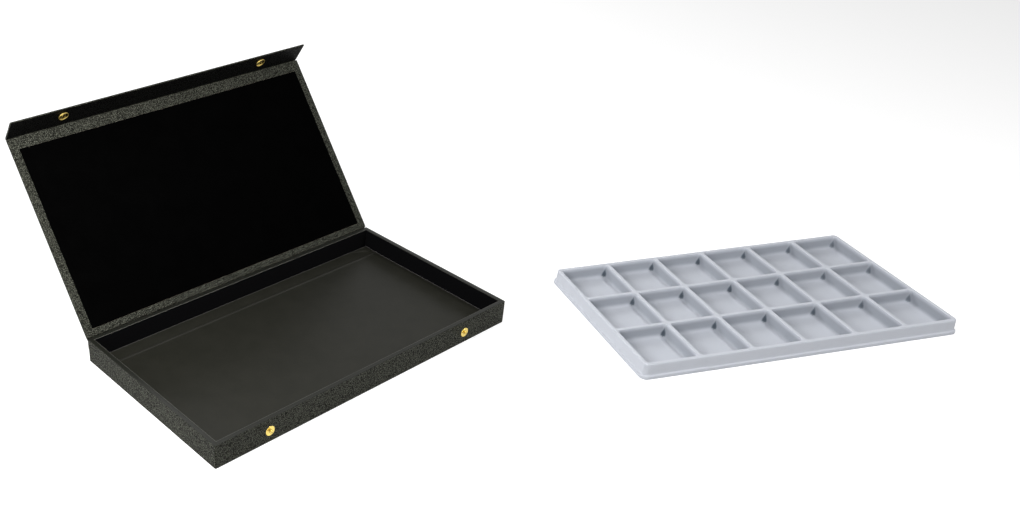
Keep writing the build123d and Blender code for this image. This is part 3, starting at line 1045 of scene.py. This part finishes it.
def cellSection(look, height):
    # a cell's section as (distance in, height) pairs, from the rim down to the floor
    roll, fillet, depth = look["rimRoll"], look["floorFillet"], look["cellDepth"]
    draft = look["cellDraft"]
    slope = math.tan(math.radians(draft))
    section = arcSteps((-roll, height - roll), roll, 90, draft, 5)
    for share in (0.15, 0.3, 0.45, 0.6, 0.8, 1.0):  # down the wall between the roll and the fillet
        drop = roll + (depth - fillet - roll) * share
        section.append((drop * slope, height - drop))
    foot = (depth - fillet) * slope + fillet
    # the fillet's first point stands clear of the wall's last one
    section += arcSteps((foot, height - depth + fillet), fillet, 190 + draft, 270, 6)
    return section + [(foot + inset, height - depth) for inset in look["floorRows"]]


def stretchAndShadeAt(look, down, cornerTurn, paintedCornerShade):
    # how far the flock turns to its dark colour: on the walls and floor partly a thinner drawn sheet, partly
    # painted shade of the cell's recess;
    # in a leaf-shaped patch of each corner, pointed near the rim and widest near the floor, painted shade of
    # the corner
    wall = smoothStep(0.05, 0.35, down) * smoothStep(1.03, 0.8, down)
    floor = smoothStep(0.8, 1.0, down)
    leafWidth = 0.9 * smoothStep(0.08, 0.8, down) * smoothStep(0.985, 0.88, down)
    leaf = paintedCornerShade * smoothStep(0.0, 0.6, leafWidth - abs(cornerTurn))
    return min(look["wallThinningAndShade"] * wall + look["floorThinningAndShade"] * floor + leaf, 1)


def addCell(sheet, stretch, look, height, centre, half, reach, paintedCornerShade):
    counts = look["counts"]
    radius = look["cellCorner"]
    turns = []  # across a corner from -1 to 1, and 1 along the straight walls
    for steps in (counts["alongY"], counts["alongX"]) * 2:
        turns += [2 * step / counts["corner"] - 1 for step in range(counts["corner"] + 1)]
        turns += [1] * (steps - 1)
    low = (-half[0], -half[1])
    outline = roundedLoop(low, half, radius, height, counts)
    loops = [[shareEdge(point, half, reach, radius) for point in outline]]
    for inset, level in cellSection(look, height):
        rounding = radius + look["cornerGrowth"] * (height - level) / look["cellDepth"]
        near, far = (low[0] + inset, low[1] + inset), (half[0] - inset, half[1] - inset)
        loops.append(roundedLoop(near, far, rounding, level, counts))
    rows = [[sheet.verts.new(point + centre) for point in loop] for loop in loops]
    for row in rows:
        for vert, turn in zip(row, turns):
            vert[stretch] = stretchAndShadeAt(look, (height - vert.co.z) / look["cellDepth"], turn, paintedCornerShade)
    for upper, lower in zip(rows, rows[1:]):
        bridgeRows(sheet, upper, lower)
    sheet.faces.new(rows[-1])


def boundaryRing(sheet):
    # the outer edge of the joined cells, in order
    ring = [next(edge for edge in sheet.edges if edge.is_boundary).verts[0]]
    before = None
    while True:
        edges = [edge for edge in ring[-1].link_edges if edge.is_boundary and edge is not before]
        before = edges[0]
        following = before.other_vert(ring[-1])
        if following is ring[0]:
            return ring
        ring.append(following)


def skirtSection(look, height):
    # (distance out from the rim's outer edge, height) pairs, down the skirt to the foot
    roll, foot = look["outerRoll"], look["footHeight"]
    slope = look["skirtSlope"]
    knee = foot + look["kneeHeight"]
    section = [(-roll - 0.25 * mm, height)] + arcSteps((-roll, height - roll), roll, 90, 0, 5)
    section += [((height - level) * slope, level) for level in (height * 0.66, height * 0.45, knee)]
    start = (height - knee) * slope
    step = look["footStep"] + height * slope - start
    section += [(start + share * step, foot + rise * mm) for share, rise in look["footShape"]]
    return section + [(start + step, look["sole"]), (start + step, 0)]


def addSkirt(sheet, look, height, arrayHalf):
    inset = look["footStep"] + height * look["skirtSlope"]
    upper = boundaryRing(sheet)
    shares = [(vert.co.x / arrayHalf[0], vert.co.y / arrayHalf[1]) for vert in upper]
    for outset, level in skirtSection(look, height):
        halfX = look["length"] / 2 - inset + outset
        halfY = look["width"] / 2 - inset + outset
        radius = look["outerCorner"] - inset + outset
        lower = []
        for shareX, shareY in shares:
            x, y = shareX * halfX, shareY * halfY
            overX, overY = abs(x) - (halfX - radius), abs(y) - (halfY - radius)
            if overX > 0 and overY > 0:
                # points of the square corner move in along its arc's radii
                shrink = radius / math.hypot(overX, overY)
                x = math.copysign(halfX - radius + overX * shrink, x)
                y = math.copysign(halfY - radius + overY * shrink, y)
            lower.append(sheet.verts.new((x, y, level)))
        bridgeRows(sheet, upper, lower)
        upper = lower


def makeCellInsert(look=cellInsert):
    low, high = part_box("insert_tray")
    height = high.z
    place = Matrix.Translation(((low.x + high.x) / 2, (low.y + high.y) / 2, 0))
    place = place @ Matrix.Rotation(math.radians(look["turn"]), 4, "Z")
    margin = look["footStep"] + height * look["skirtSlope"] + look["rimMargin"]
    pitchX = (look["length"] - 2 * margin + look["ribX"]) / look["columns"]
    pitchY = (look["width"] - 2 * margin + look["ribY"]) / look["rows"]
    half = ((pitchX - look["ribX"]) / 2, (pitchY - look["ribY"]) / 2)
    sheet = bmesh.new()
    # the stretch values carry thinner flock together with painted shade of the cells' recesses and corners
    stretch = sheet.verts.layers.float.new("stretch")
    for column in range(look["columns"]):
        for row in range(look["rows"]):
            x = (column + 0.5 - look["columns"] / 2) * pitchX
            y = (row + 0.5 - look["rows"] / 2) * pitchY
            # the painted corner shade fades for each column past the third
            leaf = look["paintedCornerShade"] * (1 - look["cornerShadeFade"] * max(column - 2, 0))
            addCell(sheet, stretch, look, height, Vector((x, y, 0)), half, (pitchX / 2, pitchY / 2), leaf)
    bmesh.ops.remove_doubles(sheet, verts=sheet.verts, dist=look["weldWithin"])
    addSkirt(sheet, look, height, (look["columns"] * pitchX / 2, look["rows"] * pitchY / 2))
    for vert in sheet.verts:
        if vert.co.z > look["trueFoot"]:
            moved = uneven(vert.co, *look["uneven"])
            vert.co = (moved.x, moved.y, min(moved.z, height))
    bmesh.ops.recalc_face_normals(sheet, faces=sheet.faces)
    floorFace = next(face for face in sheet.faces if len(face.verts) > 4)
    if floorFace.normal.z < 0:
        bmesh.ops.reverse_faces(sheet, faces=sheet.faces)
    piece = makePiece("cellInsert", sheet, flock, place, look["sheet"], 70, keepFlats=False)
    for vert in piece.data.vertices:
        vert.co.z = max(vert.co.z, 0)
    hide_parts("insert_tray")
    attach(piece, "insert")


makeCellInsert()

print("carry case: insert made")

studio = {
    "ambient": 0.2,
    "floorRadius": 9,
    "floorDrop": 0.15 * mm,
    "floorTone": 0.6,
    "floorGlow": 0.6,
    "lampsAimAt": (0.15, -0.05, 0.05),
    "focalLength": 38.83,
    "cameraFrom": (-0.6152, -0.7038, 0.6278),
    "cameraTurn": (60.43, 0.0, -38.67),
    "cameraShift": 0.2431,
}

lamps = {
    "keyLamp": {"spot": (-0.35, -0.05, 0.42), "size": 0.25, "power": 3.0},
    "sideLamp": {"spot": (-1.0, -0.3, 0.5), "size": 0.5, "power": 3.0},
    "fillLamp": {"spot": (0.43, -1.03, 1.02), "size": 0.35, "power": 9.2},
    "backLamp": {"spot": (0.3, 1.6, 1.1), "size": 0.8, "power": 20.0},
}


def cameraLikeRays(tree):
    # 1 for rays that should meet the bare white studio: camera, gloss and glass
    rays = addNode(tree, "LightPath").outputs
    seen = combined(tree, "MAXIMUM", rays["Is Camera Ray"], rays["Is Glossy Ray"])
    return combined(tree, "MAXIMUM", seen, rays["Is Transmission Ray"])


def makeStudioFloor(look=studio):
    sheet = bmesh.new()
    bmesh.ops.create_circle(sheet, cap_ends=True, radius=look["floorRadius"], segments=96)
    mesh = bpy.data.meshes.new("studioFloor")
    sheet.to_mesh(mesh)
    sheet.free()
    floor = addObject("studioFloor", mesh)
    floor.location.z = -look["floorDrop"]
    finish, tree, shader = newFinish("studioFloor")
    tone = look["floorTone"]
    fill(shader, Base_Color=(tone, tone, tone, 1), Roughness=1.0, Specular_IOR_Level=0.0)
    fill(shader, Emission_Color=(1, 1, 1, 1))
    glow = combined(tree, "MULTIPLY", cameraLikeRays(tree), look["floorGlow"])
    tree.links.new(glow, shader.inputs["Emission Strength"])
    mesh.materials.append(finish)


def makeStudioWorld(look=studio):
    world = bpy.data.worlds.new("studioWorld")
    bpy.context.scene.world = world
    world.use_nodes = True
    tree = world.node_tree
    background = tree.nodes["Background"]
    fill(background, Color=(1, 1, 1, 1))
    strength = valueBetween(tree, cameraLikeRays(tree), look["ambient"], 1.0)
    tree.links.new(strength, background.inputs["Strength"])


def makeLamp(name, spot, size, power):
    lamp = bpy.data.lights.new(name, "AREA")
    lamp.shape = "DISK"
    lamp.size = size
    lamp.energy = power
    holder = addObject(name, lamp)
    holder.location = spot
    holder.visible_camera = False
    aim = Vector(studio["lampsAimAt"]) - Vector(spot)
    holder.rotation_euler = aim.to_track_quat("-Z", "Y").to_euler()


def makeCamera(look=studio):
    lens = bpy.data.cameras.new("studioCamera")
    lens.lens = look["focalLength"]
    lens.sensor_width = 36
    lens.shift_x = look["cameraShift"]
    lens.clip_end = 50
    camera = addObject("studioCamera", lens)
    camera.location = look["cameraFrom"]
    camera.rotation_euler = [math.radians(angle) for angle in look["cameraTurn"]]
    bpy.context.scene.camera = camera


makeStudioFloor()
makeStudioWorld()
for lampName, lampLook in lamps.items():
    makeLamp(lampName, **lampLook)
makeCamera()
bpy.context.scene.view_settings.view_transform = "Standard"

print("carry case: studio made")

bpy.context.view_layer.update()
